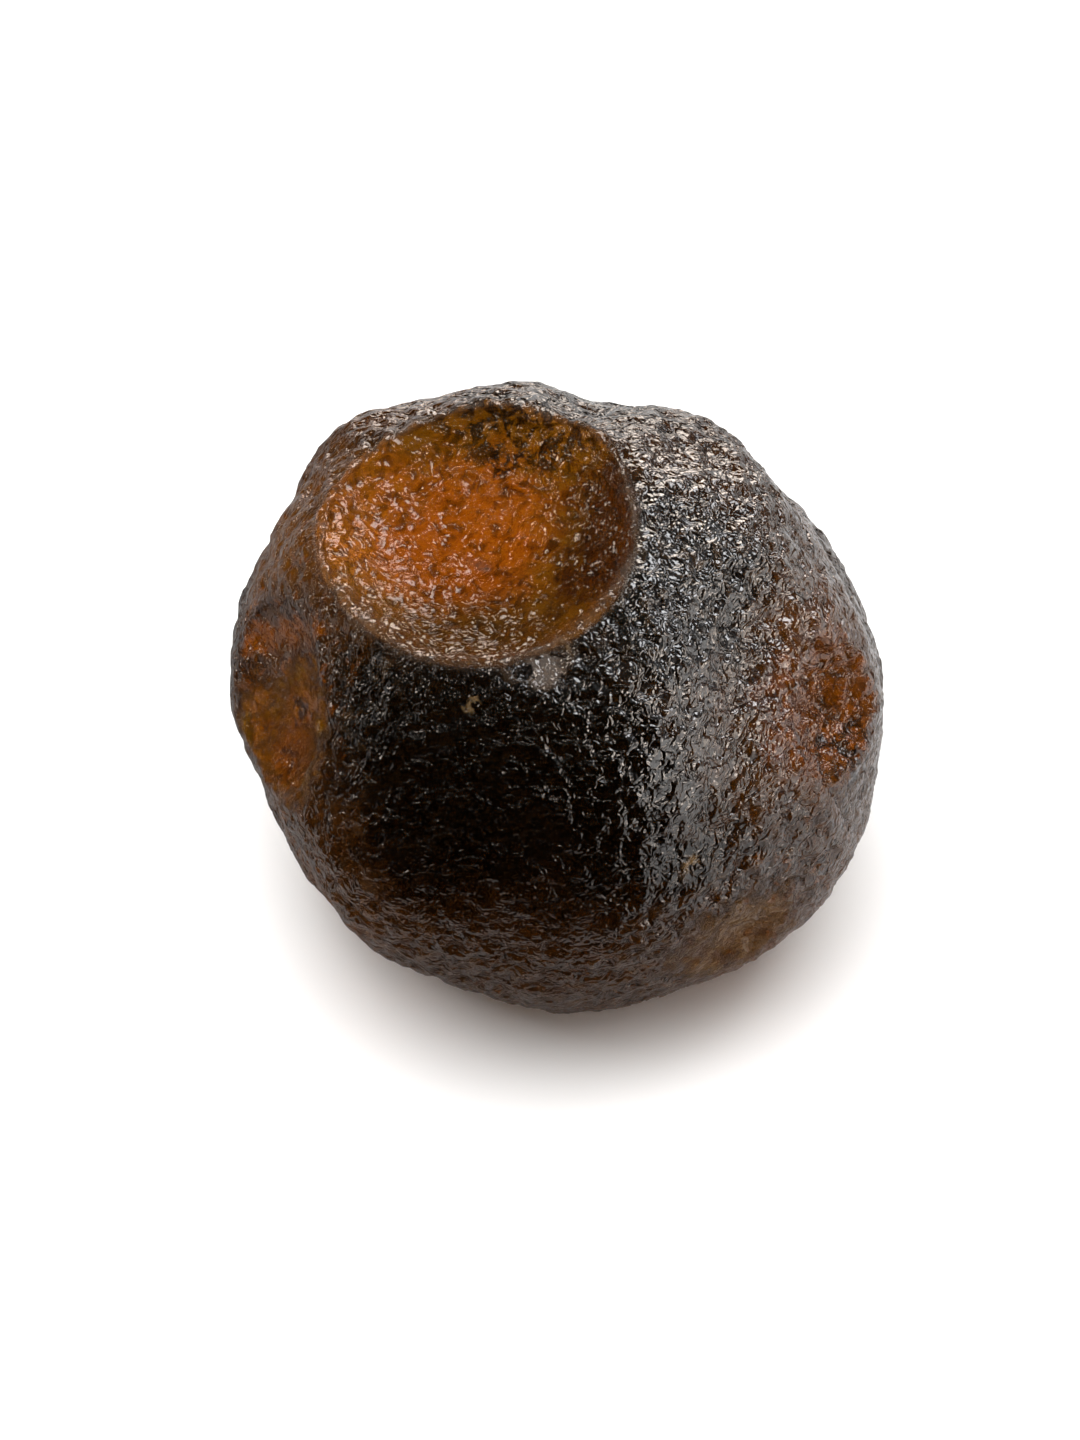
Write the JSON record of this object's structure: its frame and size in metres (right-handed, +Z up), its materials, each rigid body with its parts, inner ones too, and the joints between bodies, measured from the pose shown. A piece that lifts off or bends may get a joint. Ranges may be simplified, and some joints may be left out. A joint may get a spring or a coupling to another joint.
{
  "type": "tektite",
  "caption": "Rounded lump of dark brown natural glass with one deep bowl-shaped scar, smaller scars and a finely dimpled skin, lying on a small worn flat.",
  "frame": {"origin": "bottom centre of the bounding box, on the surface the stone lies on", "axes": "+Z up from the resting flat, the deep scar opens upwards; -Y is the side with the smooth dark front, -X the side with the left scar"},
  "size_m": [0.0324, 0.0314, 0.0302],
  "materials": {
    "natural_glass": "etched satin natural glass, dark brown, amber where it is thin"
  },
  "bodies": {
    "root": {"tektite": "natural_glass"}
  },
  "joints": []
}
